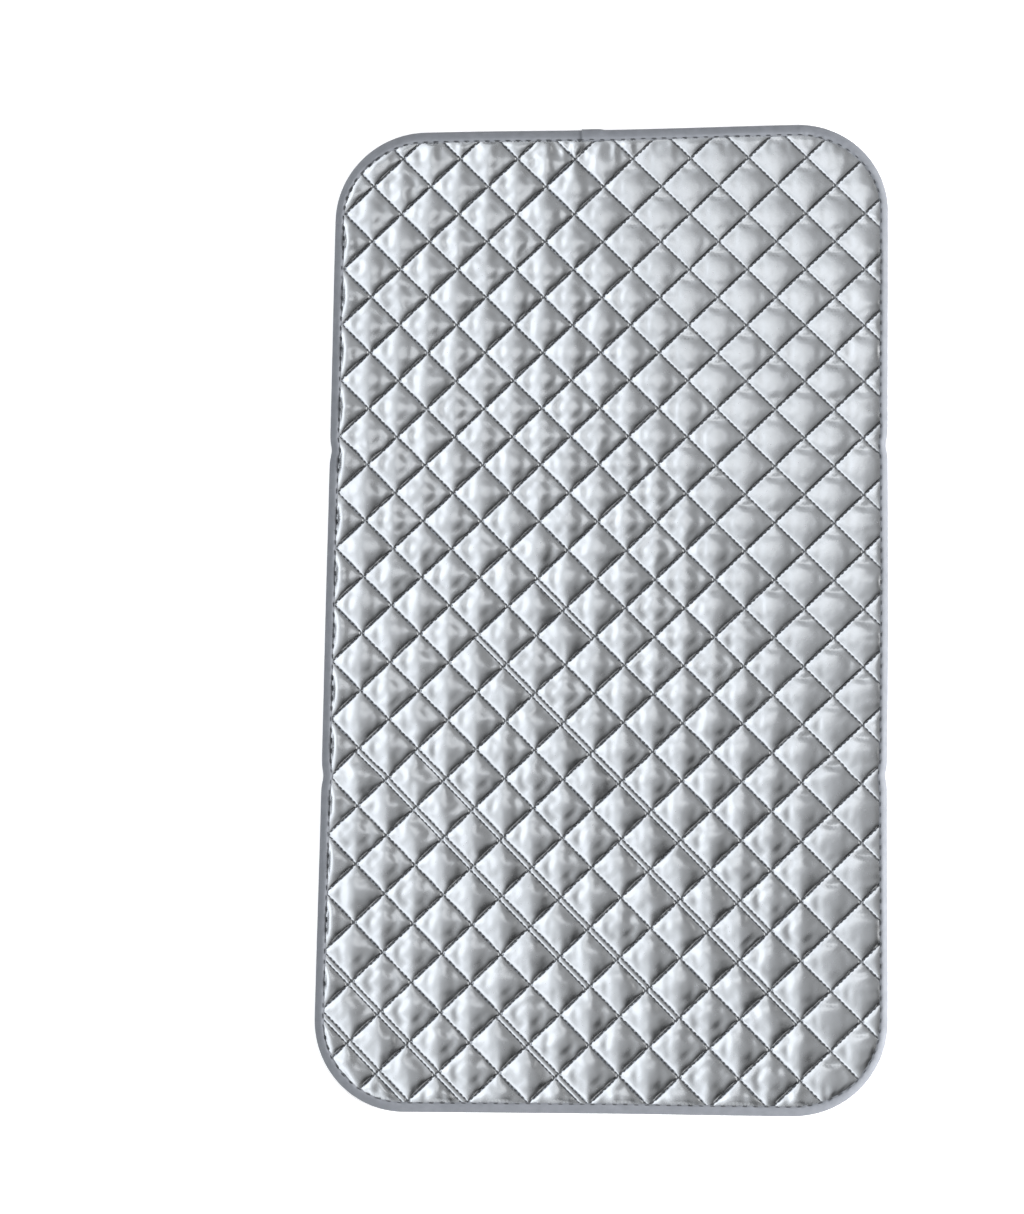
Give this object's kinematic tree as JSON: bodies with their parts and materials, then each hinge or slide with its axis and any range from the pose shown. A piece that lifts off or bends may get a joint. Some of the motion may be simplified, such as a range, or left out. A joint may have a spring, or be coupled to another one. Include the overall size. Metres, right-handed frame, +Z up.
{
  "type": "quilted ironing pad",
  "caption": "Rectangular quilted ironing pad with rounded corners: silver-coated cover, soft wadding and a backing cloth, diamond-quilted and bound with tape, laid flat for ironing.",
  "frame": {"origin": "middle of the pad's outline, on the surface that it lies on", "axes": "+X across the width, +Y along the length towards the edge with the tape lap, +Z up out of the silver face"},
  "size_m": [0.48, 0.85, 0.0074],
  "materials": {
    "silver_cover": "woven cloth with an aluminium coating, satin silver",
    "wadding": "loose white polyester fibre",
    "backing_cloth": "plain woven light grey cloth, matt",
    "binding_tape": "silver-grey satin binding tape",
    "sewing_thread": "grey polyester sewing thread"
  },
  "bodies": {
    "root": {"backing": "backing_cloth", "binding_tape": "binding_tape", "binding_thread": "sewing_thread", "cover": "silver_cover", "falling_thread_01": "sewing_thread", "falling_thread_02": "sewing_thread", "falling_thread_03": "sewing_thread", "falling_thread_04": "sewing_thread", "falling_thread_05": "sewing_thread", "falling_thread_06": "sewing_thread", "falling_thread_07": "sewing_thread", "falling_thread_08": "sewing_thread", "falling_thread_09": "sewing_thread", "falling_thread_10": "sewing_thread", "falling_thread_11": "sewing_thread", "falling_thread_12": "sewing_thread", "falling_thread_13": "sewing_thread", "falling_thread_14": "sewing_thread", "falling_thread_15": "sewing_thread", "falling_thread_16": "sewing_thread", "falling_thread_17": "sewing_thread", "falling_thread_18": "sewing_thread", "falling_thread_19": "sewing_thread", "falling_thread_20": "sewing_thread", "falling_thread_21": "sewing_thread", "falling_thread_22": "sewing_thread", "falling_thread_23": "sewing_thread", "falling_thread_24": "sewing_thread", "rising_thread_01": "sewing_thread", "rising_thread_02": "sewing_thread", "rising_thread_03": "sewing_thread", "rising_thread_04": "sewing_thread", "rising_thread_05": "sewing_thread", "rising_thread_06": "sewing_thread", "rising_thread_07": "sewing_thread", "rising_thread_08": "sewing_thread", "rising_thread_09": "sewing_thread", "rising_thread_10": "sewing_thread", "rising_thread_11": "sewing_thread", "rising_thread_12": "sewing_thread", "rising_thread_13": "sewing_thread", "rising_thread_14": "sewing_thread", "rising_thread_15": "sewing_thread", "rising_thread_16": "sewing_thread", "rising_thread_17": "sewing_thread", "rising_thread_18": "sewing_thread", "rising_thread_19": "sewing_thread", "rising_thread_20": "sewing_thread", "rising_thread_21": "sewing_thread", "rising_thread_22": "sewing_thread", "rising_thread_23": "sewing_thread", "rising_thread_24": "sewing_thread", "wadding": "wadding"}
  },
  "joints": []
}
